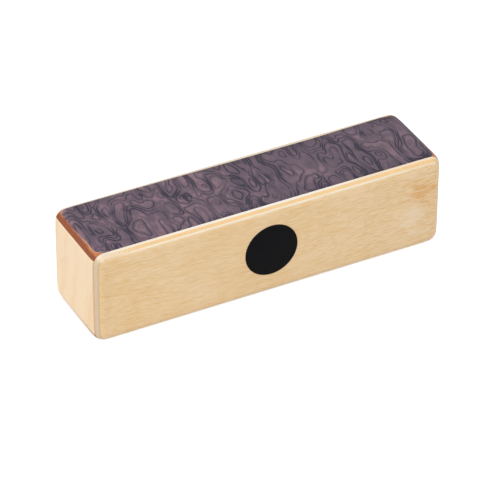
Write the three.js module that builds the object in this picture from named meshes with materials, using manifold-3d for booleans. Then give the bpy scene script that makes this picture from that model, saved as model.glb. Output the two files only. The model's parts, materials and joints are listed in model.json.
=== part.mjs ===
// A box shaker: a long, nearly square wooden case with every edge rounded over, and loose steel shot inside.
// Plywood front and back walls run the full length and height. Two thin boards with a burl face close
// the top and bottom between them, and a solid block closes each end.
// Millimetres. X runs along the case, the front wall faces -Y and Z points up.
// The origin is the middle of the underside.
import * as THREE from "three";
import { RoundedBoxGeometry } from "three/addons/geometries/RoundedBoxGeometry.js";
import { mergeVertices } from "three/addons/utils/BufferGeometryUtils.js";
import Module from "manifold-3d";

// Outside of the case
const case_length = 193;
const case_width = 50;
const case_height = 52;
const edge_radius = 5.5;
const edge_facets = 8;

// Three plies of a wall, from the outside in. The core of the back wall is the thicker one
const outer_ply = 1.2;
const front_core_ply = 1.3;
const back_core_ply = 1.7;
const inner_ply = 1.1;

// Top and bottom: a red-brown board under a thin burl veneer
const board_thickness = 2.6;
const veneer_thickness = 1;

// End blocks
const end_thickness = 6;

// Round badge on the front wall
const badge_radius = 14.5;
const badge_thickness = 0.3;
const badge_edge_round = 0.12;
const badge_across = -0.8;
const badge_above_middle = 0.8;
const badge_sides = 72;

// Steel shot: clumps of balls along the case, and a pair of balls beyond the last clump at each end
const ball_diameter = 4.5;
const ball_spacing = 5;
const clump_count = 8;
const clump_pitch = 13.5;
const running_gap = 0.3;

// How far past the outside a blank reaches before its edges are rounded
const overrun = 2;

// Where the clumps lie at rest, as shares of their free way from the middle of the inside
const clump_rest_shares = [0.35, -0.5, 0.1, -0.25, 0.6, -0.65, 0.25, -0.1];

// The balls of one clump, as shares of the ball spacing along and across the case:
// three that roll with the clump, then two that also hop
const ball_place_shares = [
  [-0.5, -1],
  [-0.5, 1],
  [0.5, -0.5],
  [-0.5, 0],
  [0.5, 0.5],
];
const end_pair_shares = [-0.5, 0.5];

// Sizes worked out from those above
const lid = board_thickness + veneer_thickness;
const half_length = case_length / 2;
const half_width = case_width / 2;
const inside_front_y = outer_ply + front_core_ply + inner_ply - half_width;
const inside_back_y = half_width - outer_ply - back_core_ply - inner_ply;
const inside_middle_y = (inside_front_y + inside_back_y) / 2;
const ball_radius = ball_diameter / 2;
const ball_height = lid + running_gap + ball_radius;
const clump_reach = ball_spacing + ball_radius;
const free_way = inside_back_y - inside_middle_y - clump_reach - running_gap;

// Finishes
const finishes = {
  pale_face: new THREE.MeshStandardMaterial({ color: 0xe2c396, roughness: 0.38, metalness: 0 }),
  ply_core: new THREE.MeshStandardMaterial({ color: 0xf5d29e, roughness: 0.45, metalness: 0 }),
  ply_inner: new THREE.MeshStandardMaterial({ color: 0xf0e2c6, roughness: 0.5, metalness: 0 }),
  red_board: new THREE.MeshStandardMaterial({ color: 0xa05f3c, roughness: 0.42, metalness: 0 }),
  burl_veneer: new THREE.MeshStandardMaterial({ color: 0x6f5f6b, roughness: 0.32, metalness: 0 }),
  end_wood: new THREE.MeshStandardMaterial({ color: 0xf1d8b7, roughness: 0.4, metalness: 0 }),
  badge_black: new THREE.MeshStandardMaterial({ color: 0x141416, roughness: 0.45, metalness: 0 }),
  shot_steel: new THREE.MeshStandardMaterial({ color: 0xb9bcc0, roughness: 0.25, metalness: 1 }),
};

const wasm = await Module();
wasm.setup();

// Turns a closed geometry into a solid that can be cut and joined.
function solid(geometry) {
  geometry.deleteAttribute("normal");
  geometry.deleteAttribute("uv");
  const merged = mergeVertices(geometry);
  return new wasm.Manifold(
    new wasm.Mesh({
      numProp: 3,
      vertProperties: merged.attributes.position.array,
      triVerts: new Uint32Array(merged.index.array),
    }),
  );
}

// Turns a solid back into a geometry with flat faces.
function surface(made) {
  const mesh = made.getMesh();
  const geometry = new THREE.BufferGeometry();
  geometry.setAttribute("position", new THREE.BufferAttribute(mesh.vertProperties, 3));
  geometry.setIndex(new THREE.BufferAttribute(mesh.triVerts, 1));
  const flat = geometry.toNonIndexed();
  flat.computeVertexNormals();
  return flat;
}

// A sawn blank that fills the space between two corners.
function blank(low, high) {
  const from = new THREE.Vector3(...low);
  const to = new THREE.Vector3(...high);
  const size = to.clone().sub(from);
  const middle = from.clone().add(to).divideScalar(2);
  const geometry = new THREE.BoxGeometry(size.x, size.y, size.z);
  geometry.translate(middle.x, middle.y, middle.z);
  return solid(geometry);
}

// The outside of the finished case, after the router and the sander have been round every edge.
const rounded_outside = solid(
  new RoundedBoxGeometry(case_length, case_width, case_height, edge_facets, edge_radius).translate(
    0,
    0,
    case_height / 2,
  ),
);

const shaker = new THREE.Group();

function add(name, geometry, material, parent = shaker) {
  const mesh = new THREE.Mesh(geometry, material);
  mesh.name = name;
  parent.add(mesh);
  return mesh;
}

// Cuts a blank to the rounded outside of the case.
function add_panel(name, low, high, material) {
  add(name, surface(blank(low, high).intersect(rounded_outside)), material);
}

// The three plies of a wall. Side is -1 at the front and 1 at the back.
function add_wall(wall_name, side, core_ply) {
  const under_outer = half_width - outer_ply;
  const under_core = under_outer - core_ply;
  const plies = [
    ["outer_ply", half_width + overrun, under_outer, finishes.pale_face],
    ["core_ply", under_outer, under_core, finishes.ply_core],
    ["inner_ply", under_core, under_core - inner_ply, finishes.ply_inner],
  ];
  for (const [ply_name, outside, inside, material] of plies) {
    const near = Math.min(side * outside, side * inside);
    const far = Math.max(side * outside, side * inside);
    add_panel(
      wall_name + "_" + ply_name,
      [-half_length - overrun, near, -overrun],
      [half_length + overrun, far, case_height + overrun],
      material,
    );
  }
}

// A board and the veneer glued to its outer face, at the bottom or the top of the case.
function add_lid(lid_name, outer_z, outward) {
  const glue_z = outer_z - outward * veneer_thickness;
  const inner_z = outer_z - outward * lid;
  const past_z = outer_z + outward * overrun;
  const layers = [
    ["board", inner_z, glue_z, finishes.red_board],
    ["burl_veneer", glue_z, past_z, finishes.burl_veneer],
  ];
  for (const [layer_name, one_z, other_z, material] of layers)
    add_panel(
      lid_name + "_" + layer_name,
      [-half_length - overrun, inside_front_y, Math.min(one_z, other_z)],
      [half_length + overrun, inside_back_y, Math.max(one_z, other_z)],
      material,
    );
}

// A solid block that closes one end. Side is -1 at the left and 1 at the right.
function add_end_block(name, side) {
  const outside = side * (half_length + overrun);
  const inside = side * (half_length - end_thickness);
  add_panel(
    name,
    [Math.min(outside, inside), inside_front_y, lid],
    [Math.max(outside, inside), inside_back_y, case_height - lid],
    finishes.end_wood,
  );
}

// A thin disc with a softened rim, flat on the front wall.
function add_badge() {
  const profile = [
    new THREE.Vector2(0, 0),
    new THREE.Vector2(badge_radius, 0),
    new THREE.Vector2(badge_radius, badge_thickness - badge_edge_round),
    new THREE.Vector2(badge_radius - badge_edge_round, badge_thickness),
    new THREE.Vector2(0, badge_thickness),
  ];
  const disc = new THREE.LatheGeometry(profile, badge_sides);
  disc.rotateX(Math.PI);
  disc.translate(badge_across, -half_width, case_height / 2 + badge_above_middle);
  add("round_badge", surface(solid(disc)), finishes.badge_black);
}

function add_ball(name, x, y, parent) {
  const ball = add(name, new THREE.IcosahedronGeometry(ball_radius, 1), finishes.shot_steel, parent);
  ball.position.set(x, y, ball_height);
}

// The shot lies strewn on the floor of the case. Nothing holds it.
function add_shot() {
  const shot = new THREE.Group();
  shaker.add(shot);
  for (let clump = 0; clump < clump_count; clump++) {
    const middle_x = (clump - (clump_count - 1) / 2) * clump_pitch;
    const middle_y = inside_middle_y + clump_rest_shares[clump % clump_rest_shares.length] * free_way;
    ball_place_shares.forEach(([along, across], ball) =>
      add_ball(
        "shot_" + (clump + 1) + "_ball_" + (ball + 1),
        middle_x + along * ball_spacing,
        middle_y + across * ball_spacing,
        shot,
      ),
    );
  }
  const end_x = ((clump_count + 1) / 2) * clump_pitch;
  for (const [end_name, x] of [["left", -end_x], ["right", end_x]])
    end_pair_shares.forEach((across, ball) =>
      add_ball(
        "shot_" + end_name + "_ball_" + (ball + 1),
        x,
        inside_middle_y + 2 * across * ball_spacing,
        shot,
      ),
    );
}

add_wall("front", -1, front_core_ply);
add_wall("back", 1, back_core_ply);
add_lid("bottom", 0, -1);
add_lid("top", case_height, 1);
add_end_block("left_end_block", -1);
add_end_block("right_end_block", 1);
add_badge();
add_shot();

export default shaker;
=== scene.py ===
# A box shaker: plywood walls, boards under a burl veneer, end blocks, a plain round badge, and loose
# steel shot inside. Metres. X runs along the case, the front wall faces -Y and Z points up from the
# underside.
import json
import math

import bpy
import numpy as np
from mathutils import Matrix, Vector

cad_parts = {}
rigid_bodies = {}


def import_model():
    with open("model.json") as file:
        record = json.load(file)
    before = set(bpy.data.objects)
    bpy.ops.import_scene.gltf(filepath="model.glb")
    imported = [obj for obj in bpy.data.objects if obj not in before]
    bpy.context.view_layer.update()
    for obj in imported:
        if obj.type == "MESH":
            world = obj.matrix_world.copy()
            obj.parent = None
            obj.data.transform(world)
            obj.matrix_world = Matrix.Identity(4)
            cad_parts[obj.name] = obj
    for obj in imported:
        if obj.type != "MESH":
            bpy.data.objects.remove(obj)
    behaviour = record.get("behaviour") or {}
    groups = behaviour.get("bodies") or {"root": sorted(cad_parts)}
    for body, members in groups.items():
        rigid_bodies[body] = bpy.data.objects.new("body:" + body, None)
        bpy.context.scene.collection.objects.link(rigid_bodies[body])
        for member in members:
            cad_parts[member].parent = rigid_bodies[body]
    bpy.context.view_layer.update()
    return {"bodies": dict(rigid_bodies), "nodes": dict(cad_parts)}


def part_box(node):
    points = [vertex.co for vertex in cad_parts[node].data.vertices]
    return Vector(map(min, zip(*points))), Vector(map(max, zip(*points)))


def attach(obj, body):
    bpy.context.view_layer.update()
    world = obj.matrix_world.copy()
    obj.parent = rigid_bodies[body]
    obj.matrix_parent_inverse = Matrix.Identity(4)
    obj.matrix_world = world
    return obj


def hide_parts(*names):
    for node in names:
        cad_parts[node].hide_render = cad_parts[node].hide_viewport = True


bl_info = {
    "name": "Box shaker",
    "version": (1, 0, 0),
    "blender": (4, 5, 0),
    "location": "3D View > Sidebar > Shaker",
    "description": "Makes the sanded panels, the badge, the shot and the stage of a box shaker",
    "category": "Object",
}

MM = 0.001
TOUCHING = 0.01 * MM

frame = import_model()


# Sizes that come from the CAD nodes


def span(nodes):
    """The lowest and highest corner of several CAD nodes together."""
    lows, highs = zip(*(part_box(node) for node in nodes))
    return Vector(map(min, *lows)), Vector(map(max, *highs))


PANELS = [
    wall + "_" + ply for wall in ("front", "back") for ply in ("outer_ply", "core_ply", "inner_ply")
]
PANELS += [lid + "_" + layer for lid in ("bottom", "top") for layer in ("board", "burl_veneer")]
PANELS += ["left_end_block", "right_end_block"]

CASE_LOW, CASE_HIGH = span(PANELS)
CASE_MIDDLE = (CASE_LOW + CASE_HIGH) / 2
CASE_SIZE = CASE_HIGH - CASE_LOW

# In millimetres, which the finishes count in
HALF_CASE = CASE_SIZE / (2 * MM)

# The balls of each body of the shot. A body's object is called after it, behind a colon.
SHOT = {
    body.name.split(":")[1]: [node for node in frame["nodes"] if frame["nodes"][node].parent is body]
    for body in frame["bodies"].values()
    if "shot" in body.name
}
BALL_LOW, BALL_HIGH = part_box(SHOT["shot_bed"][0])


def paint(code):
    """A screen colour such as e2c396 as the scene's linear colour."""
    shares = [int(code[place : place + 2], 16) / 255 for place in (0, 2, 4)]
    linear = [
        share / 12.92 if share <= 0.04045 else ((share + 0.055) / 1.055) ** 2.4 for share in shares
    ]
    return tuple(linear)


# Settings that a user may change


def colour(name, description, code):
    return bpy.props.FloatVectorProperty(
        name=name, description=description, default=paint(code), subtype="COLOR", size=3, min=0, max=1
    )


def length(name, description, default, low=0.0):
    return bpy.props.FloatProperty(
        name=name, description=description, default=default, min=low, unit="LENGTH", precision=4
    )


class ShakerCase(bpy.types.PropertyGroup):
    """Sizes of the wooden case."""

    edge_radius: length("Edge radius", "How far every edge is rounded over", 5.5 * MM, 1 * MM)
    corner_softness: length(
        "Corner softness", "How much more the sander took off each corner", 0.45 * MM
    )
    corner_reach: length(
        "Corner reach", "How far from a corner the sander began to turn in", 10 * MM, 1 * MM
    )
    arc_steps: bpy.props.IntProperty(
        name="Arc steps", description="Steps in half of a rounded edge", default=8, min=2, max=24
    )
    badge_rim: length("Badge rim", "Radius of the softened rim of the badge", 0.12 * MM)


class ShakerWood(bpy.types.PropertyGroup):
    """Colours of the woods, the dyed burl and the badge."""

    face: colour("Face ply", "Pale lengthwise face of the walls", "e8cca4")
    face_fibre: colour("Face fibres", "Yellower fibres of the face", "dbb57b")
    core: colour("Core ply", "End grain of the middle ply", "eec78f")
    edge: colour("Ply edge", "Side grain of the outer plies, sanded clean", "eee5d0")
    end: colour("End block", "Upright wood of the end blocks", "fae0ba")
    end_streak: colour("End streaks", "Soft streaks of growth in the end blocks", "f4c898")
    board: colour("Board", "Red-brown board under the burl", "8f4b29")
    burl: colour("Burl cells", "Light parts of the dyed burl", "8a6f79")
    burl_middle: colour("Burl", "Middle tone of the dyed burl", "665562")
    burl_line: colour("Burl lines", "Dark lines of the dyed burl", "332d3e")
    badge: colour("Badge", "Black of the badge", "09090d")
    steel: colour("Shot", "Steel of the shot", "b9bcc0")


class ShakerStage(bpy.types.PropertyGroup):
    """Camera and light."""

    azimuth: bpy.props.FloatProperty(
        name="Azimuth",
        description="Which way the camera stands round the case",
        default=math.radians(-27.71),
        subtype="ANGLE",
    )
    elevation: bpy.props.FloatProperty(
        name="Elevation",
        description="How far above the horizon the camera stands",
        default=math.radians(35.476),
        subtype="ANGLE",
    )
    roll: bpy.props.FloatProperty(
        name="Roll", description="Tilt of the picture", default=math.radians(0.2586), subtype="ANGLE"
    )
    distance: length("Distance", "From the camera to the middle of the case", 1.7098, 0.2)
    lens: bpy.props.FloatProperty(
        name="Lens", description="Focal length in millimetres", default=257.13, min=20, max=600
    )
    world_light: bpy.props.FloatProperty(
        name="Room light",
        description="Strength of the even light of the room",
        default=0.6,
        min=0,
        max=2,
    )
    key_light: bpy.props.FloatProperty(
        name="Key light",
        description="Power of the large soft light, in watts",
        default=26,
        min=0,
        max=400,
    )


SETTINGS = {"shaker_case": ShakerCase, "shaker_wood": ShakerWood, "shaker_stage": ShakerStage}


# Node trees


class Wire:
    """A value on its way through a node tree. An expression on wires adds its Math nodes."""

    def __init__(self, tree, socket):
        self.tree = tree
        self.socket = socket

    def __add__(self, other):
        return self.tree.math("ADD", self, other)

    def __radd__(self, other):
        return self.tree.math("ADD", other, self)

    def __sub__(self, other):
        return self.tree.math("SUBTRACT", self, other)

    def __rsub__(self, other):
        return self.tree.math("SUBTRACT", other, self)

    def __mul__(self, other):
        return self.tree.math("MULTIPLY", self, other)

    def __rmul__(self, other):
        return self.tree.math("MULTIPLY", other, self)

    def __truediv__(self, other):
        return self.tree.math("DIVIDE", self, other)

    def __rtruediv__(self, other):
        return self.tree.math("DIVIDE", other, self)

    def __pow__(self, other):
        return self.tree.math("POWER", self, other)

    def __abs__(self):
        return self.tree.math("ABSOLUTE", self)

    def __mod__(self, other):
        return self.tree.math("FLOORED_MODULO", self, other)

    def at_least(self, other):
        return self.tree.math("MAXIMUM", self, other)

    def at_most(self, other):
        return self.tree.math("MINIMUM", self, other)


class Tree:
    """Adds nodes to a material's tree or to a Geometry Nodes tree."""

    def __init__(self, node_tree):
        self.node_tree = node_tree

    def node(self, kind, settings=(), inputs=(), output=0):
        """One node: its type, its settings, and what goes into its sockets. Returns one output."""
        made = self.node_tree.nodes.new(kind)
        for key, value in dict(settings).items():
            setattr(made, key, value)
        for key, value in dict(inputs).items():
            for one in value if isinstance(value, list) else [value]:
                if isinstance(one, Wire):
                    self.node_tree.links.new(one.socket, made.inputs[key])
                else:
                    made.inputs[key].default_value = one
        if not made.outputs:
            return made
        return Wire(self, made.outputs[output])

    def math(self, operation, *values):
        return self.node("ShaderNodeMath", {"operation": operation}, enumerate(values))

    def vector(self, operation, *values, **named):
        """Vector Math. A scale is given by name."""
        inputs = {**dict(enumerate(values)), **named}
        return self.node("ShaderNodeVectorMath", {"operation": operation}, inputs)

    def join(self, x, y, z):
        return self.node("ShaderNodeCombineXYZ", (), {"X": x, "Y": y, "Z": z})

    def split(self, vector):
        made = self.node("ShaderNodeSeparateXYZ", (), {"Vector": vector})
        return [Wire(self, made.socket.node.outputs[axis]) for axis in "XYZ"]


class Finish(Tree):
    """A material, built from its nodes. Places are in millimetres from the middle of the case."""

    def __init__(self, name):
        self.material = bpy.data.materials.new(name)
        self.material.use_nodes = True
        super().__init__(self.material.node_tree)
        self.node_tree.nodes.clear()
        place = self.node("ShaderNodeTexCoord", output="Object")
        centred = self.vector("SUBTRACT", place, tuple(CASE_MIDDLE))
        self.place = self.vector("SCALE", centred, Scale=1 / MM)
        self.x, self.y, self.z = self.split(self.place)

    def ease(self, value, low, high, start=0.0, end=1.0):
        """Goes smoothly from start to end while the value goes from low to high."""
        return self.node(
            "ShaderNodeMapRange",
            {"interpolation_type": "SMOOTHSTEP"},
            {"Value": value, "From Min": low, "From Max": high, "To Min": start, "To Max": end},
        )

    def mix(self, mask, one, other):
        """The first colour where the mask is 0, the second where it is 1."""
        return self.node(
            "ShaderNodeMix",
            {"data_type": "RGBA", "clamp_factor": True},
            {0: mask, 6: opaque(one), 7: opaque(other)},
            output=2,
        )

    def shade(self, colour_wire, amount):
        """A colour times a number."""
        return self.vector("SCALE", colour_wire, Scale=amount)

    def noise(self, vector, scale, detail=2.0, roughness=0.5, distortion=0.0, four=None):
        """Noise whose middle value is 0. Its features are about one over the scale, in millimetres."""
        settings = {"noise_dimensions": "3D" if four is None else "4D"}
        inputs = {
            "Vector": vector,
            "Scale": scale,
            "Detail": detail,
            "Roughness": roughness,
            "Distortion": distortion,
        }
        if four is not None:
            inputs["W"] = four
        return self.node("ShaderNodeTexNoise", settings, inputs) - 0.5

    def noise_vector(self, vector, scale, detail=2.0, amount=1.0):
        """A push in all three directions, of about the amount in millimetres."""
        inputs = {"Vector": vector, "Scale": scale, "Detail": detail}
        made = self.node("ShaderNodeTexNoise", (), inputs, output="Color")
        centred = self.vector("SUBTRACT", made, (0.5, 0.5, 0.5))
        return self.vector("SCALE", centred, Scale=2 * amount)

    def surface(self, base, roughness, bump=None, bump_depth=0.0, **constants):
        """The shader at the end of the tree. The bump's depth is in metres."""
        inputs = {"Base Color": base, "Roughness": roughness, **constants}
        if bump is not None:
            inputs["Normal"] = self.node(
                "ShaderNodeBump", (), {"Height": bump, "Distance": bump_depth, "Strength": 1.0}
            )
        shader = self.node("ShaderNodeBsdfPrincipled", (), inputs)
        self.node("ShaderNodeOutputMaterial", (), {"Surface": shader})
        return self.material


def opaque(value):
    """A colour of three numbers gets its fourth; a wire stays as it is."""
    return value if isinstance(value, Wire) else (*value, 1.0)


# Finishes

# Tones of the woods beside those in the settings
FACE_PORES = paint("d4a05a")
SCRAPED_CREAM = paint("ecdac3")
KNOT_BROWN = paint("d69b4c")
STAIN_TAN = paint("d8a860")
CROSS_GRAIN = paint("cdae83")
CORE_PALE_END = paint("ebd3b3")
CORE_FLECKS = paint("e0a35c")
CORE_INNER_SIDE = paint("cfbba1")
INNER_CLEAN = paint("f3ebdf")
INNER_LEFT = paint("f3e5ce")
INNER_RIGHT = paint("f2dbbe")
INNER_CUT = paint("d4ba9a")
INNER_GLUED = paint("c3a37c")
WALL_GLUE = paint("b9936c")
BOARD_GLUE = paint("8f6749")
BOARD_PORES = paint("6d3420")
BOARD_RUBBED_HIGHLIT = paint("c67a4b")
VENEER_GLUE = paint("d9ab8a")
WALL_CREAM = paint("efd9b8")

LACQUER = {"Coat Weight": 0.25, "Coat Roughness": 0.25}
THIN_LACQUER = {"Coat Weight": 0.2, "Coat Roughness": 0.3}


class Grain:
    """The figure of straight-grained wood: fibres, bands of growth, and short dark pores.

    Each of them has a length along the grain and a width across it, in millimetres.
    """

    SWAY = (26, 16)
    PORE = (3.6, 0.5)
    PORE_CLUSTER = (17, 7)

    def __init__(
        self, finish, along, across, through, seed, sway=1.6, fibre=(4.2, 0.42), band=(24, 1.6)
    ):
        sway_length, sway_width = self.SWAY
        slow_place = finish.join(
            along * (1 / sway_length), across * (1 / sway_width), through * (1 / sway_width) + seed
        )
        self.across = across + finish.noise(slow_place, 1.0) * (2 * sway)
        self.through = through + finish.noise(slow_place, 1.0, four=seed + 3.0) * (2 * sway)
        self.along = along
        self.finish = finish
        self.seed = seed
        self.fibre = self.drawn(*fibre, number=0)
        self.band = self.drawn(*band, number=1)
        dashes = self.drawn(*self.PORE, number=2, detail=1.0)
        clusters = self.drawn(*self.PORE_CLUSTER, number=4)
        self.pores = finish.ease(dashes, 0.10, 0.22) * finish.ease(clusters, -0.04, 0.16)

    def drawn(self, length_mm, width_mm, number, detail=2.0):
        """Noise drawn out along the grain. Each number gives another one."""
        place = self.finish.join(
            self.along * (1 / length_mm), self.across * (1 / width_mm), self.through * (1 / width_mm)
        )
        return self.finish.noise(place, 1.0, detail, 0.55, four=self.seed + number)


def node_box(node):
    """The lowest and highest corner of a CAD node, in millimetres from the middle of the case."""
    low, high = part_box(node)
    return (low - CASE_MIDDLE) / MM, (high - CASE_MIDDLE) / MM


def into_round(finish):
    """How far a place lies into the rounding at the ends, into that at the top and bottom, and below
    the face of the wall, in millimetres.
    """
    radius = bpy.context.scene.shaker_case.edge_radius / MM
    end = (abs(finish.x) - (HALF_CASE.x - radius)).at_least(0.0)
    lid = (abs(finish.z) - (HALF_CASE.z - radius)).at_least(0.0)
    face_depth = HALF_CASE.y - abs(finish.y)
    return end, lid, face_depth


def upright_edges(finish, end, lid):
    """1 on the upright edges of a wall, 0 along its top and bottom edges."""
    return finish.ease(end - lid, -1.5, 1.5)


def far_right_painted_light(finish):
    """1 where the right end of the case turns away from the lights; there the colour is painted paler,
    a painted light.
    """
    return finish.ease(finish.x, 91.5, 94.5)


def spot(finish, x, z, half_x, half_z):
    """0 in the middle of a patch on a wall and 1 at its rim."""
    return (((finish.x - x) / half_x) ** 2.0 + ((finish.z - z) / half_z) ** 2.0) ** 0.5


def marked(finish, grain, face):
    """The face of a wall with a scraped patch and a knot at the right, and a stain at the left."""
    front = finish.ease(finish.y, 0.0, -1.0)
    ragged = finish.noise(finish.place, 1 / 4, 3.0, 0.6) * 1.4 + grain.drawn(9, 0.9, number=6) * 4.2
    patch = spot(finish, x=81.0, z=-6.5, half_x=7.0, half_z=11.5) + ragged
    scraped = finish.ease(patch, 1.1, 0.3) * front
    flecks = finish.noise(finish.place, 1 / 0.7) * 0.22 + grain.fibre * 0.5
    face = finish.mix(scraped * 0.45, face, finish.shade(SCRAPED_CREAM, 1.0 + flecks))
    round_knot = spot(finish, x=84.8, z=8.4, half_x=10.0, half_z=8.5) + ragged
    knot = finish.ease(round_knot, 1.1, 0.1) * front
    face = finish.mix(knot * 0.75, face, finish.shade(KNOT_BROWN, 1.0 + grain.fibre * 0.4))
    stain = finish.ease(finish.x, -80.0, -91.0)
    stain = stain * finish.ease(finish.noise(finish.place, 1 / 5), 0.0, 0.2)
    return finish.mix(stain * 0.4, face, STAIN_TAN)


def face_ply_finish():
    """Pale face with fine lengthwise grain, sanded cream along its edges and darker at its ends."""
    wood = bpy.context.scene.shaker_wood
    finish = Finish("pale_face_lacquered")

    # The grain falls from the left end to the middle, and climbs gently from there to the right end.
    bend = 20.0
    lean = (finish.x - (finish.x * finish.x + bend * bend) ** 0.5) * 0.07 - finish.x * 0.04
    grain = Grain(finish, finish.x, finish.z + lean, finish.y, 1.7, sway=2.4, fibre=(4.8, 0.48))
    patches = finish.noise(finish.place, 1 / 22)
    flames = finish.ease(grain.drawn(11, 0.8, number=5, detail=1.0), 0.08, 0.24)
    lively = finish.ease(finish.x, 20.0, 85.0, 1.0, 1.55)
    yellow = 0.42 - finish.ease(finish.x, 0.0, 50.0) * 0.17 + finish.ease(finish.x, 60.0, 85.0) * 0.1
    yellow = yellow + grain.fibre * lively * 2.1 + grain.band * 0.9 + patches * 0.8 + flames * 0.4
    face = finish.mix(yellow, wood.face[:], wood.face_fibre[:])
    face = finish.mix(grain.pores * lively * 0.65, face, FACE_PORES)
    face = marked(finish, grain, face)
    # Paler at the far right, where the end turns away from the lights: painted light. A little darker
    # at the left edge and over the right half, which is tone.
    right = far_right_painted_light(finish)
    left = finish.ease(finish.x, -85.0, -90.0)
    light = 1.0 + right * 0.12 - left * 0.02 - finish.ease(finish.x, 10.0, 80.0) * 0.025
    face = finish.shade(face, light)

    # The top and bottom edges are sanded cream, less so towards the ends.
    end, lid, depth = into_round(finish)
    upright = upright_edges(finish, end, lid)
    cream = finish.ease(depth, 0.4, 1.0) * finish.ease(lid, 0.5, 1.5) * (1 - upright)
    cream = cream * finish.ease(finish.x, -92.0, -66.0, 0.25, 1.0)
    cream = cream * finish.ease(finish.x, 90.0, 50.0, 0.6, 1.0)
    cream = cream * (finish.noise(finish.place, 1 / 14, four=3.0) * 1.2 + 0.92)
    base = finish.mix(cream, face, finish.shade(wood.edge[:], 1.0 + grain.fibre * 0.12))

    # The upright edges show end grain, painted paler at the right end where it turns away from the
    # lights, a painted light.
    cut = finish.ease(depth, 0.95, 1.2) * finish.ease(end, 0.5, 1.5) * upright
    end_grain = finish.shade(CROSS_GRAIN, 1.0 + right * 0.25 + grain.fibre * 0.3)
    base = finish.mix(cut, base, end_grain)
    height = grain.fibre * 0.5 - grain.pores
    return finish.surface(base, 0.42 + grain.fibre * 0.12, height, 0.02 * MM, **LACQUER)


def core_ply_finish():
    """The middle ply lies across the others: end grain along the top, side grain at the ends."""
    wood = bpy.context.scene.shaker_wood
    finish = Finish("core_ply_sanded")
    grain = Grain(finish, finish.z, finish.x, finish.y, 4.1)
    end, lid, depth = into_round(finish)
    fleck_place = finish.join(finish.x * (1 / 1.1), finish.y * (1 / 1.2), finish.z * (1 / 6))
    flecks = finish.ease(finish.noise(fleck_place, 1.0, 2.0, 0.6), 0.06, 0.15)
    peach = finish.shade(wood.core[:], 1.0 + finish.noise(finish.place, 1 / 9) * 0.14)
    # The very corner at the left is painted darker, a painted shade that tones down the highlight
    # there.
    corner = finish.ease(finish.x, -90.5, -93.0)
    pale = finish.shade(CORE_PALE_END, 1.0 - corner * 0.06)
    pale_end = finish.ease(finish.x, -70.0, -88.0)
    end_grain = finish.mix(pale_end, peach, pale)
    end_grain = finish.mix(flecks * (pale_end * 0.45 + 0.3), end_grain, CORE_FLECKS)
    side_grain = finish.mix(finish.ease(depth, 1.75, 1.45), CORE_INNER_SIDE, CROSS_GRAIN)
    # Paler where the right end turns away from the lights, a painted light, besides the grain.
    light = 1.0 + far_right_painted_light(finish) * 0.25 + grain.fibre * 0.2 + grain.band * 0.1
    side_grain = finish.shade(side_grain, light)
    base = finish.mix(upright_edges(finish, end, lid), end_grain, side_grain)
    return finish.surface(base, 0.5 + grain.fibre * 0.1, grain.fibre, 0.02 * MM, **THIN_LACQUER)


def inner_ply_finish():
    """Pale inner ply: a clean white line beside the burl, a darker line beside the end block."""
    finish = Finish("inner_ply_sanded")
    grain = Grain(finish, finish.x, finish.z, finish.y, 7.3)
    end, lid, depth = into_round(finish)
    clean = finish.mix(finish.ease(finish.x, 15.0, 70.0), INNER_CLEAN, INNER_RIGHT)
    clean = finish.mix(finish.ease(finish.x, -15.0, -70.0), clean, INNER_LEFT)
    # Darker towards the left corner: a painted shade that tones down the highlight there.
    left = finish.ease(finish.x, -84.0, -90.0)
    clean = finish.shade(clean, 1.0 + grain.fibre * 0.14 + grain.band * 0.08 - left * 0.09)
    cut = finish.mix(finish.ease(depth, 3.0, 3.3), INNER_CUT, INNER_GLUED)
    cut = finish.shade(cut, 1.0 + grain.fibre * 0.3)
    base = finish.mix(upright_edges(finish, end, lid), clean, cut)
    return finish.surface(base, 0.5 + grain.fibre * 0.1, grain.fibre, 0.02 * MM, **THIN_LACQUER)


def end_block_finish():
    """Cream wood with wide, soft, slightly slanted streaks of growth."""
    wood = bpy.context.scene.shaker_wood
    finish = Finish("end_block_lacquered")
    slant = finish.y + finish.z * 0.2
    grain = Grain(finish, finish.z, slant, finish.x, 9.9, sway=1.2, fibre=(6, 0.5), band=(30, 2.2))
    sway_place = finish.join(finish.y * (1 / 22), finish.z * (1 / 26), finish.x * (1 / 22))
    rings = finish.noise(sway_place, 1.0) * 1.5 - slant * (1 / 12)
    phase = rings % 1.0
    streak = finish.ease(phase, 0.0, 0.06) * (1 - finish.ease(phase, 0.06, 0.5))
    weight = finish.ease(finish.noise(finish.place, 1 / 15, 1.0, four=3.0), -0.15, 0.15, 0.3, 1.0)

    # A wedge of heartwood beside the front wall, wider towards the bottom
    into_wedge = -19.3 - (finish.z - 4.7) * 0.26 - finish.y
    wedge = finish.ease(into_wedge, -0.2, 0.4) * finish.ease(into_wedge, 10.0, 3.0)
    peach = (streak * weight + wedge) * 0.4 + grain.fibre * 0.45 + grain.band * 0.25 + 0.12
    base = finish.mix(peach, wood.end[:], wood.end_streak[:])

    # Glue beside the front wall and above the bottom board
    low, _ = node_box("left_end_block")
    beside_wall = finish.ease(finish.y - low.y, 1.1, 0.2)
    base = finish.mix(beside_wall * 0.5, base, WALL_GLUE)
    above_board = finish.ease(finish.z - low.z, 1.5, 0.5) * finish.ease(finish.y, 8.0, -16.0)
    base = finish.mix(above_board * 0.9, base, BOARD_GLUE)
    return finish.surface(base, 0.42 + grain.fibre * 0.1, grain.fibre, 0.015 * MM, **LACQUER)


def board_wood(finish):
    """The colour and the grain of red-brown wood whose fibres run across the case."""
    wood = bpy.context.scene.shaker_wood
    grain = Grain(finish, finish.y, finish.x, finish.z, 12.2, sway=0.6, fibre=(5, 0.3), band=(20, 1.5))
    red = finish.shade(wood.board[:], 1.0 + grain.fibre * 0.9 + grain.band * 0.4)
    return finish.mix(grain.pores * 0.6, red, BOARD_PORES), grain


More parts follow.
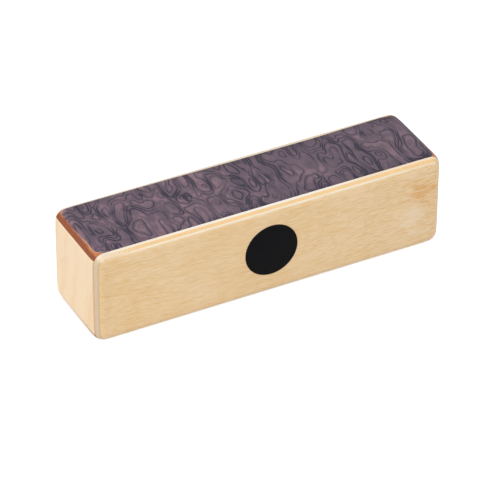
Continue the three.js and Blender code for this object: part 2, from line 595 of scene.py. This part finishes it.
def rubbed_and_highlit(finish, base, near_burl):
    """The board beside the burl, lighter in patches and at the corners: partly sanding wear and partly
    a painted highlight on the rounded edge.
    """
    patches = finish.noise(finish.place, 1 / 2.6, four=5.0)
    corners = finish.ease(finish.y, -9.0, -14.0) * 0.6 + finish.ease(finish.y, 14.0, 18.0) * 0.4
    return finish.mix((patches * 1.6 + corners + 0.35) * near_burl, base, BOARD_RUBBED_HIGHLIT)


def board_finish():
    """Red-brown board, lighter beside the burl, partly from sanding and partly a painted highlight. At
    the right end the dye has soaked into it.
    """
    wood = bpy.context.scene.shaker_wood
    finish = Finish("red_board_sanded")
    base, grain = board_wood(finish)
    from_outside = HALF_CASE.z - abs(finish.z)
    # Lighter beside the burl: partly sanding wear, partly a painted highlight on the rounded edge.
    base = rubbed_and_highlit(finish, base, finish.ease(from_outside, 1.9, 1.0))
    soaked = finish.ease(finish.x, 60.0, 70.0) * finish.ease(abs(finish.y), 18.2, 16.8)
    soaked = soaked * finish.ease(from_outside, 3.0, 2.4)
    base = finish.mix(soaked, base, wood.burl_line[:])
    roughness = 0.45 + grain.fibre * 0.2
    return finish.surface(base, roughness, grain.fibre, 0.02 * MM, **{"Specular IOR Level": 0.3})


def burl_levels(finish, place):
    """The height of the burl's figure at a place, counted in growth lines, and the warped place."""

    # The figure is drawn out across the case.
    flat = finish.vector("MULTIPLY", place, (1.0, 0.5, 1.0))
    warped = finish.vector("ADD", flat, finish.noise_vector(flat, 1 / 10, 0.0, 1.6))
    warped = finish.vector("ADD", warped, finish.noise_vector(warped, 1 / 2.6, 0.0, 0.3))
    eye_pitch = 8.0
    eyes = finish.node("ShaderNodeTexVoronoi", (), {"Vector": warped, "Scale": 1 / eye_pitch})
    pick, _, _ = finish.split(Wire(finish, eyes.socket.node.outputs["Color"]))
    eye = (1 - finish.ease(eyes * eye_pitch, 0.0, 2.6)) * finish.ease(pick, 0.5, 0.55)
    hills = finish.noise(warped, 1 / 7.5, 0.0) + eye * 0.2
    return finish.ease(hills, -0.16, 0.16) * 1.4 + hills * 6.0 + 10.3, warped


def burl_figure(finish):
    """How light the dyed burl is at a place, its dark lines, and its fibres."""
    step = 0.15
    level, warped = burl_levels(finish, finish.place)
    beside, _ = burl_levels(finish, finish.vector("ADD", finish.place, (step, 0.0, 0.0)))
    behind, _ = burl_levels(finish, finish.vector("ADD", finish.place, (0.0, step, 0.0)))
    steep = (((beside - level) ** 2.0 + (behind - level) ** 2.0) ** 0.5 / step).at_least(0.02)

    # A dark line at each whole level, with a soft shadow on its higher side
    phase = level % 1.0
    past_line = phase / steep
    before_line = (1 - phase) / steep
    line = 1 - finish.ease(past_line.at_most(before_line), 0.1, 0.5)
    shadow = 1 - finish.ease(past_line, 0.2, 2.2)
    strength = finish.ease(finish.noise(finish.place, 1 / 10, 1.0, four=2.0), -0.18, 0.1, 0.35, 1.0)

    # Two thin lines between, where the figure flows
    between = (level * 2.0 + 0.5) % 1.0
    thin_line = 1 - finish.ease(between.at_most(1 - between) / (steep * 2.0), 0.1, 0.4)
    flowing = finish.ease(finish.noise(finish.place, 1 / 12, 1.0, four=9.0), -0.1, 0.1)

    pools = finish.ease(finish.noise(warped, 1 / 7, four=8.0), 0.02, 0.24)
    clouds = finish.noise(finish.place, 1 / 12, four=4.0)
    fibre_place = finish.vector("MULTIPLY", warped, (1 / 0.6, 1 / 2.4, 1 / 0.6))
    fibre = finish.noise(fibre_place, 1.0, 2.0, 0.6)
    tone = 0.8 + clouds * 1.1 + fibre * 0.8 - thin_line * flowing * 0.38
    tone = tone - (line * 0.75 + shadow * 0.42) * strength - pools * 0.5
    tone = tone - finish.ease(finish.x, -24.0, -8.0) * 0.14 + finish.ease(finish.x, 50.0, 66.0) * 0.04
    return tone, line, fibre


def inside_veneer(finish, low, high):
    """How far a place lies inside the line where the sander went through the veneer, in millimetres."""
    from_end = HALF_CASE.x - abs(finish.x)
    from_walls = (finish.y - low.y).at_most(high.y - finish.y)
    corner = finish.ease(finish.x, -10.0, 10.0, 4.6, 3.2)
    into_corner = (corner - from_walls).at_least(0.0)
    cut_back = corner - (corner * corner - into_corner * into_corner).at_least(0.0) ** 0.5
    wander = finish.noise(finish.place, 1 / 5, four=6.0) * 1.2
    return from_end - 2.4 - cut_back + wander + finish.ease(finish.y, -14.0, 8.0, -0.4, 0.5)


def burl_finish():
    """Dyed burl: light rounded cells with dark lines round them, small eyes, and soft dark pools."""
    wood = bpy.context.scene.shaker_wood
    finish = Finish("burl_dyed")
    tone, line, fibre = burl_figure(finish)
    low, high = node_box("top_burl_veneer")
    from_back = high.y - finish.y
    inside = inside_veneer(finish, low, high)
    left_end = finish.ease(finish.x, -70.0, -80.0)
    # Lighter on the rounded edge beside the bared board at the left end: a painted highlight.
    tone = tone + finish.ease(inside, 3.5, 0.0) * left_end * 0.35
    tone = tone - finish.ease(finish.y - low.y, 9.0, 2.0) * 0.1
    tone = tone - finish.ease(from_back, 6.0, 2.0) * finish.ease(finish.x, -30.0, 20.0) * 0.25
    dark = finish.mix(finish.ease(tone, -0.35, 0.5), wood.burl_line[:], wood.burl_middle[:])
    base = finish.mix(finish.ease(tone, 0.5, 1.0), dark, wood.burl[:])

    # Beyond the veneer the board shows, at the left end behind a thin line of glue.
    board, _ = board_wood(finish)
    # The bared board is lighter in patches and at the corners, partly sanding wear and partly a painted
    # highlight.
    red = rubbed_and_highlit(finish, board, 1.0)
    base = finish.mix(finish.ease(inside, 0.15, -0.1), base, red)
    base = finish.mix(finish.ease(abs(inside), 0.35, 0.1) * left_end * 0.65, base, VENEER_GLUE)

    # Along the back wall the sander bared red wood at the right end, and a cream line elsewhere.
    red_width = finish.ease(finish.x, 84.0, 90.0) * 1.2
    base = finish.mix(finish.ease(from_back - red_width, 0.3, -0.3) * 0.85, base, red)
    cream_width = finish.ease(finish.x, -90.0, 25.0, 0.15, 1.25)
    cream_width = cream_width * finish.ease(finish.x, 88.0, 40.0, 0.22, 1.0)
    base = finish.mix(finish.ease(from_back - cream_width, 0.15, -0.15), base, WALL_CREAM)
    return finish.surface(base, 0.4 + line * 0.08, fibre, 0.01 * MM, **{"Specular IOR Level": 0.2})


def badge_finish():
    """Black satin film with a faint pebbled surface."""
    wood = bpy.context.scene.shaker_wood
    finish = Finish("badge_black_satin")
    pebbles = finish.noise(finish.place, 3.0, 2.0, 0.6)
    clouds = finish.noise(finish.place, 1 / 7)
    base = finish.shade(wood.badge[:], 1.0 + clouds * 0.4)
    roughness = 0.5 + pebbles * 0.1
    return finish.surface(base, roughness, pebbles, 0.004 * MM, **{"Specular IOR Level": 0.08})


def steel_finish():
    """Tumbled steel with faint scuffs."""
    wood = bpy.context.scene.shaker_wood
    finish = Finish("shot_steel_tumbled")
    scuffs = finish.noise(finish.place, 1.6, 4.0, 0.7)
    base = finish.shade(wood.steel[:], 1.0 + scuffs * 0.2)
    return finish.surface(base, 0.24 + scuffs * 0.2, scuffs, 0.01 * MM, Metallic=1.0)


# Geometry


def geometry_tree(name, inputs):
    """A Geometry Nodes tree with a geometry going in and out and the named inputs."""
    group = bpy.data.node_groups.new(name, "GeometryNodeTree")
    group.interface.new_socket("Geometry", in_out="INPUT", socket_type="NodeSocketGeometry")
    for label, kind in inputs.items():
        group.interface.new_socket(label, in_out="INPUT", socket_type="NodeSocket" + kind)
    group.interface.new_socket("Geometry", in_out="OUTPUT", socket_type="NodeSocketGeometry")
    tree = Tree(group)
    entry = group.nodes.new("NodeGroupInput")
    wires = {socket.name: Wire(tree, socket) for socket in entry.outputs if socket.name}
    return group, tree, wires


def panel_tree():
    """A sawn blank, cut to the outside of the case after every edge has been rounded over."""
    group, tree, given = geometry_tree(
        "sanded_panel",
        {
            "Case low": "Vector",
            "Case high": "Vector",
            "Edge radius": "Float",
            "Corner softness": "Float",
            "Corner reach": "Float",
            "Arc steps": "Int",
            "Blank low": "Vector",
            "Blank high": "Vector",
            "Finish": "Material",
        },
    )
    radius = given["Edge radius"]
    steps = given["Arc steps"]
    reach = given["Corner reach"]
    zero = (0.0, 0.0, 0.0)

    def middle_and_size(of):
        low, high = given[of + " low"], given[of + " high"]
        middle = tree.vector("SCALE", tree.vector("ADD", high, low), Scale=0.5)
        return middle, tree.vector("SUBTRACT", high, low)

    # A block with rows of square faces beside each edge. The inner rows stay flat, and the outer rows,
    # as many as there are steps, make half of a rounded edge.
    flat_rows = 4
    arc_start = (flat_rows,) * 3
    rows = (steps + flat_rows) * 2.0 + 1.0
    corners = {"Vertices " + axis: rows + 1.0 for axis in "XYZ"}
    block = tree.node("GeometryNodeMeshCube", (), {"Size": tree.join(rows, rows, rows), **corners})
    place = tree.node("GeometryNodeInputPosition")
    side = tree.vector("SIGN", place)
    into_rows = tree.vector("SUBTRACT", tree.vector("ABSOLUTE", place), (0.5, 0.5, 0.5))
    before_arc = tree.vector("MAXIMUM", tree.vector("SUBTRACT", arc_start, into_rows), zero)
    into_arc = tree.vector("MAXIMUM", tree.vector("SUBTRACT", into_rows, arc_start), zero)
    angle = tree.vector("SCALE", into_arc, Scale=math.pi / 4 / steps)
    outward = tree.vector("NORMALIZE", tree.vector("TANGENT", angle))
    case_middle, case_size = middle_and_size("Case")
    half_case = tree.vector("SCALE", case_size, Scale=0.5)
    arc_middle = tree.vector("SUBTRACT", half_case, tree.join(radius, radius, radius))
    flat_part = tree.vector("SCALE", before_arc, Scale=reach / (2 * flat_rows))
    arc_middle = tree.vector("SUBTRACT", arc_middle, flat_part)

    # The nearer a corner, the more the sander took off.
    round_place = tree.vector("ADD", arc_middle, tree.vector("SCALE", outward, Scale=radius))
    from_corner = tree.vector("SUBTRACT", half_case, round_place)
    in_reach = tree.vector("SCALE", from_corner, Scale=1.0 / reach)
    near_corner = tree.vector("MAXIMUM", tree.vector("SUBTRACT", (1.0, 1.0, 1.0), in_reach), zero)
    turned_in = 1.0
    for near in tree.split(near_corner):
        turned_in = near * near * (3.0 - near * 2.0) * turned_in
    worn = radius - turned_in * given["Corner softness"]
    rounded = tree.vector("ADD", arc_middle, tree.vector("SCALE", outward, Scale=worn))
    rounded = tree.vector("ADD", tree.vector("MULTIPLY", rounded, side), case_middle)
    outside = tree.node("GeometryNodeSetPosition", (), {"Geometry": block, "Position": rounded})

    # The blank, and the panel that is in both
    blank_middle, blank_size = middle_and_size("Blank")
    sawn = tree.node("GeometryNodeMeshCube", (), {"Size": blank_size})
    blank = tree.node("GeometryNodeTransform", (), {"Geometry": sawn, "Translation": blank_middle})
    panel = tree.node(
        "GeometryNodeMeshBoolean",
        {"operation": "INTERSECT", "solver": "EXACT"},
        {"Mesh 2": [outside, blank]},
    )

    # The cut leaves some points almost in line. Triangles that are made here, rather than by an
    # exporter, keep the mesh closed.
    panel = tree.node("GeometryNodeTriangulate", (), {"Mesh": panel})
    realized = tree.node("GeometryNodeRealizeInstances", (), {"Geometry": panel})
    finished = tree.node(
        "GeometryNodeSetMaterial", (), {"Geometry": realized, "Material": given["Finish"]}
    )
    tree.node("NodeGroupOutput", (), {"Geometry": finished})
    return group


def shot_tree():
    """A steel ball on every point, each turned its own way."""
    group, tree, given = geometry_tree(
        "loose_shot", {"Ball diameter": "Float", "Fineness": "Int", "Seed": "Int", "Finish": "Material"}
    )
    ball = tree.node(
        "GeometryNodeMeshIcoSphere",
        (),
        {"Radius": given["Ball diameter"] * 0.5, "Subdivisions": given["Fineness"]},
    )
    turn = tree.node(
        "FunctionNodeRandomValue",
        {"data_type": "FLOAT_VECTOR"},
        {"Min": (0.0, 0.0, 0.0), "Max": (math.tau, math.tau, math.tau), "Seed": given["Seed"]},
    )
    rotation = tree.node("FunctionNodeEulerToRotation", (), {"Euler": turn})
    balls = tree.node(
        "GeometryNodeInstanceOnPoints",
        (),
        {"Points": given["Geometry"], "Instance": ball, "Rotation": rotation},
    )
    realized = tree.node("GeometryNodeRealizeInstances", (), {"Geometry": balls})
    smooth = tree.node("GeometryNodeSetShadeSmooth", (), {"Geometry": realized, "Shade Smooth": True})
    finished = tree.node(
        "GeometryNodeSetMaterial", (), {"Geometry": smooth, "Material": given["Finish"]}
    )
    tree.node("NodeGroupOutput", (), {"Geometry": finished})
    return group


def new_piece(name, mesh):
    piece = bpy.data.objects.new(name, mesh)
    bpy.context.scene.collection.objects.link(piece)
    return piece


def grown(name, group, values, points=()):
    """A piece made by a Geometry Nodes tree, as a plain mesh."""
    seed_mesh = bpy.data.meshes.new(name + "_start")
    seed_mesh.from_pydata([tuple(point) for point in points], [], [])
    piece = new_piece(name, seed_mesh)
    modifier = piece.modifiers.new("make", "NODES")
    modifier.node_group = group
    for item in group.interface.items_tree:
        if item.name in values:
            modifier[item.identifier] = values[item.name]
    depsgraph = bpy.context.evaluated_depsgraph_get()
    made = bpy.data.meshes.new_from_object(
        piece.evaluated_get(depsgraph), preserve_all_data_layers=True, depsgraph=depsgraph
    )
    piece.modifiers.clear()
    piece.data = made
    made.name = name
    bpy.data.meshes.remove(seed_mesh)
    if not made.polygons:
        raise RuntimeError(name + " came out empty")
    return piece


def rounded_normals(piece):
    """The faces on the rounded outside shade as one smooth surface, and the sawn faces stay flat."""
    square_to_axis = 0.99999
    much_the_same = 0.8
    radius = bpy.context.scene.shaker_case.edge_radius
    mesh = piece.data
    low = np.array(CASE_LOW) + radius
    high = np.array(CASE_HIGH) - radius

    def read(items, key, width=3):
        values = np.zeros(len(items) * width)
        items.foreach_get(key, values)
        return values.reshape(-1, width)

    def from_inside(places):
        away = places - np.clip(places, low, high)
        return away / np.maximum(np.linalg.norm(away, axis=1), TOUCHING)[:, None]

    points = read(mesh.vertices, "co")
    face_normals = read(mesh.polygons, "normal")
    centres = read(mesh.polygons, "center")
    within = np.minimum(centres - np.array(CASE_LOW), np.array(CASE_HIGH) - centres).min(axis=1)
    sawn = (np.abs(face_normals).max(axis=1) > square_to_axis) & (within > TOUCHING)
    likeness = np.einsum("ij,ij->i", from_inside(centres), face_normals)
    outside = (likeness > much_the_same) & ~sawn
    counts = np.zeros(len(mesh.polygons), int)
    mesh.polygons.foreach_get("loop_total", counts)
    face_of_loop = np.repeat(np.arange(len(mesh.polygons)), counts)
    corner_of_loop = np.zeros(len(mesh.loops), int)
    mesh.loops.foreach_get("vertex_index", corner_of_loop)
    smooth_normals = from_inside(points[corner_of_loop])
    chosen = np.where(outside[face_of_loop][:, None], smooth_normals, face_normals[face_of_loop])
    mesh.polygons.foreach_set("use_smooth", np.ones(len(mesh.polygons), bool))
    mesh.normals_split_custom_set([tuple(normal) for normal in chosen])
    return piece


def make_panel(node, free_axes, finish):
    """One panel, from the box of its CAD node. It reaches the outside along its free axes."""
    low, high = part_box(node)
    overrun = bpy.context.scene.shaker_case.edge_radius
    for axis in range(3):
        free = "XYZ"[axis] in free_axes
        if free or low[axis] < CASE_LOW[axis] + TOUCHING:
            low[axis] = CASE_LOW[axis] - overrun
        if free or high[axis] > CASE_HIGH[axis] - TOUCHING:
            high[axis] = CASE_HIGH[axis] + overrun
    settings = bpy.context.scene.shaker_case
    group = bpy.data.node_groups.get("sanded_panel") or panel_tree()
    piece = grown(
        node + "_sanded",
        group,
        {
            "Case low": tuple(CASE_LOW),
            "Case high": tuple(CASE_HIGH),
            "Edge radius": settings.edge_radius,
            "Corner softness": settings.corner_softness,
            "Corner reach": settings.corner_reach,
            "Arc steps": settings.arc_steps,
            "Blank low": tuple(low),
            "Blank high": tuple(high),
            "Finish": finish,
        },
    )
    rounded_normals(piece)
    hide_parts(node)
    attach(piece, "case")
    return piece


def lathe(name, profile, sides, finish):
    """A closed mesh turned about the Y axis. The profile is (radius, how far out), middle to middle."""
    points = [(0.0, profile[0][1], 0.0), (0.0, profile[-1][1], 0.0)]
    rings = profile[1:-1]
    for radius, out in rings:
        for side in range(sides):
            angle = math.tau * side / sides
            points.append((radius * math.sin(angle), out, radius * math.cos(angle)))
    faces = []
    last = len(rings) - 1
    for side in range(sides):
        here = 2 + side
        there = 2 + (side + 1) % sides
        faces.append((0, there, here))
        faces.append((1, last * sides + here, last * sides + there))
        for ring in range(last):
            row = ring * sides
            faces.append((row + here, row + there, row + sides + there, row + sides + here))
    mesh = bpy.data.meshes.new(name)
    mesh.from_pydata(points, [], faces)
    mesh.materials.append(finish)
    mesh.validate()
    return mesh


# Operators


class SHAKER_OT_walls(bpy.types.Operator):
    """Make the three plies of the front and back walls"""

    bl_idname = "shaker.walls"
    bl_label = "Plywood walls"

    def execute(self, context):
        plies = (
            ("outer_ply", face_ply_finish(), "pale_face_ply"),
            ("core_ply", core_ply_finish(), "core_ply"),
            ("inner_ply", inner_ply_finish(), "inner_ply"),
        )
        for wall in ("front", "back"):
            for ply, finish, slot in plies:
                make_panel(wall + "_" + ply, "XZ", finish)
        return {"FINISHED"}


class SHAKER_OT_lids(bpy.types.Operator):
    """Make the red-brown boards and the burl veneers"""

    bl_idname = "shaker.lids"
    bl_label = "Boards and burl"

    def execute(self, context):
        layers = (("board", board_finish(), "red_board"), ("burl_veneer", burl_finish(), "burl_veneer"))
        for lid in ("bottom", "top"):
            for layer, finish, slot in layers:
                make_panel(lid + "_" + layer, "X", finish)
        return {"FINISHED"}


class SHAKER_OT_ends(bpy.types.Operator):
    """Make the two end blocks"""

    bl_idname = "shaker.ends"
    bl_label = "End blocks"

    def execute(self, context):
        finish = end_block_finish()
        for node in ("left_end_block", "right_end_block"):
            make_panel(node, "", finish)
        return {"FINISHED"}


class SHAKER_OT_badge(bpy.types.Operator):
    """Make the plain round badge on the front wall"""

    bl_idname = "shaker.badge"
    bl_label = "Round badge"

    def execute(self, context):
        low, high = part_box("round_badge")
        middle = (low + high) / 2
        radius = (high.x - low.x) / 2
        thickness = high.y - low.y
        rim = context.scene.shaker_case.badge_rim
        sides, rim_steps, sharp_angle = 144, 6, math.radians(40)
        profile = [(0.0, 0.0), (radius, 0.0)]
        for step in range(rim_steps + 1):
            angle = math.pi / 2 * step / rim_steps
            profile.append(
                (radius - rim + rim * math.cos(angle), thickness - rim + rim * math.sin(angle))
            )
        profile.append((0.0, thickness))
        mesh = lathe("round_badge_film", profile, sides, badge_finish())
        onto_wall = Matrix.Translation((middle.x, high.y, middle.z))
        mesh.transform(onto_wall @ Matrix.Rotation(math.pi, 4, "Z"))
        mesh.polygons.foreach_set("use_smooth", [True] * len(mesh.polygons))
        mesh.set_sharp_from_angle(angle=sharp_angle)
        piece = new_piece("round_badge_film", mesh)
        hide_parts("round_badge")
        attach(piece, "case")
        return {"FINISHED"}


class SHAKER_OT_shot(bpy.types.Operator):
    """Make the steel balls, one mesh for each group that moves"""

    bl_idname = "shaker.shot"
    bl_label = "Steel shot"

    def execute(self, context):
        finish = steel_finish()
        fineness = 4
        group = shot_tree()
        for number, (body, nodes) in enumerate(sorted(SHOT.items())):
            boxes = [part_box(node) for node in nodes]
            piece = grown(
                body + "_balls",
                group,
                {
                    "Ball diameter": BALL_HIGH.z - BALL_LOW.z,
                    "Fineness": fineness,
                    "Seed": number,
                    "Finish": finish,
                },
                [(low + high) / 2 for low, high in boxes],
            )
            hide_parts(*nodes)
            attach(piece, body)
        return {"FINISHED"}


class SHAKER_OT_stage(bpy.types.Operator):
    """Make the floor, the room, the lights and the camera"""

    bl_idname = "shaker.stage"
    bl_label = "Stage"

    def execute(self, context):
        stage = context.scene.shaker_stage
        make_floor()
        make_room(stage.world_light)
        make_light("key_light", place=(-0.6, -1.8, 1.6), size=1.4, power=stage.key_light)
        make_light("side_light", place=(-1.9, 0.4, 1.1), size=1.0, power=stage.key_light * 0.4)
        make_camera(stage)
        context.scene.view_settings.view_transform = "Standard"
        return {"FINISHED"}


WHITE = (1.0, 1.0, 1.0, 1.0)
FLOOR_WHITE = (0.82, 0.82, 0.82, 1.0)
FLOOR_GLOW = 0.55
FLOOR_REACH = 6.0

# The picture, and where the middle of the case lies in it, in pixels from its top left corner
PICTURE_WIDTH, PICTURE_HEIGHT = 480, 504
CASE_ACROSS, CASE_DOWN = 249.318, 224.718


def make_floor():
    """A white floor that keeps the shadow of the case."""
    corners = [(-1, -1), (1, -1), (1, 1), (-1, 1)]
    mesh = bpy.data.meshes.new("floor")
    places = [(x * FLOOR_REACH, y * FLOOR_REACH, 0) for x, y in corners]
    mesh.from_pydata(places, [], [(0, 1, 2, 3)])
    material = bpy.data.materials.new("floor_white")
    material.use_nodes = True
    tree = Tree(material.node_tree)
    tree.node_tree.nodes.clear()
    matt = tree.node("ShaderNodeBsdfDiffuse", (), {"Color": FLOOR_WHITE})
    glow = tree.node("ShaderNodeEmission", (), {"Color": WHITE, "Strength": FLOOR_GLOW})
    lit = tree.node("ShaderNodeAddShader", (), {0: matt, 1: glow})
    seen = tree.node("ShaderNodeLightPath", (), (), output="Is Camera Ray")
    shader = tree.node("ShaderNodeMixShader", (), {0: seen, 1: matt, 2: lit})
    tree.node("ShaderNodeOutputMaterial", (), {"Surface": shader})
    mesh.materials.append(material)
    new_piece("floor", mesh)


def make_room(strength):
    """Even white light; whatever is seen directly or in a reflection is plain white."""
    world = bpy.data.worlds.new("room")
    bpy.context.scene.world = world
    world.use_nodes = True
    tree = Tree(world.node_tree)
    tree.node_tree.nodes.clear()
    camera_ray = tree.node("ShaderNodeLightPath", (), (), output="Is Camera Ray")
    rays = camera_ray.socket.node.outputs
    seen = camera_ray + Wire(tree, rays["Is Glossy Ray"]) + Wire(tree, rays["Is Transmission Ray"])
    power = strength + seen.at_most(1.0) * (1.0 - strength)
    shader = tree.node("ShaderNodeBackground", (), {"Color": WHITE, "Strength": power})
    tree.node("ShaderNodeOutputWorld", (), {"Surface": shader})


def make_light(name, place, size, power):
    """A square soft light that looks at the middle of the case."""
    light = bpy.data.lights.new(name, "AREA")
    light.size = size
    light.energy = power
    lamp = bpy.data.objects.new(name, light)
    bpy.context.scene.collection.objects.link(lamp)
    lamp.location = place
    lamp.rotation_euler = (CASE_MIDDLE - Vector(place)).to_track_quat("-Z", "Y").to_euler()


def make_camera(stage):
    """The camera at the angle of the photograph."""
    azimuth, elevation, roll = stage.azimuth, stage.elevation, stage.roll
    outward = Vector((math.sin(azimuth), -math.cos(azimuth), 0.0))
    back = outward * math.cos(elevation) + Vector((0.0, 0.0, math.sin(elevation)))
    level = Vector((math.cos(azimuth), math.sin(azimuth), 0.0))
    upright = back.cross(level)
    right = level * math.cos(roll) + upright * math.sin(roll)
    up = upright * math.cos(roll) - level * math.sin(roll)
    data = bpy.data.cameras.new("camera")
    data.sensor_fit = "HORIZONTAL"
    data.lens = stage.lens
    pixel = data.sensor_width / stage.lens * stage.distance / PICTURE_WIDTH
    place = CASE_MIDDLE + back * stage.distance
    place -= right * (CASE_ACROSS - PICTURE_WIDTH / 2) * pixel
    place += up * (CASE_DOWN - PICTURE_HEIGHT / 2) * pixel
    camera = bpy.data.objects.new("camera", data)
    bpy.context.scene.collection.objects.link(camera)
    camera.matrix_world = Matrix.Translation(place) @ Matrix((right, up, back)).transposed().to_4x4()
    bpy.context.scene.camera = camera


OPERATORS = (
    SHAKER_OT_walls,
    SHAKER_OT_lids,
    SHAKER_OT_ends,
    SHAKER_OT_badge,
    SHAKER_OT_shot,
    SHAKER_OT_stage,
)


class SHAKER_PT_panel(bpy.types.Panel):
    """Lists the settings and the pieces"""

    bl_idname = "SHAKER_PT_panel"
    bl_label = "Box shaker"
    bl_space_type = "VIEW_3D"
    bl_region_type = "UI"
    bl_category = "Shaker"

    def draw(self, context):
        for key, group in SETTINGS.items():
            box = self.layout.box()
            for setting in group.__annotations__:
                box.prop(getattr(context.scene, key), setting)
        for operator in OPERATORS:
            self.layout.operator(operator.bl_idname)


CLASSES = (*SETTINGS.values(), *OPERATORS, SHAKER_PT_panel)


def register():
    for made in CLASSES:
        bpy.utils.register_class(made)
    for key, group in SETTINGS.items():
        setattr(bpy.types.Scene, key, bpy.props.PointerProperty(type=group))


def unregister():
    for key in SETTINGS:
        delattr(bpy.types.Scene, key)
    for made in reversed(CLASSES):
        bpy.utils.unregister_class(made)


def main():
    register()
    for operator in OPERATORS:
        category, action = operator.bl_idname.split(".")
        getattr(getattr(bpy.ops, category), action)()
    bpy.context.view_layer.update()


if __name__ == "__main__":
    main()
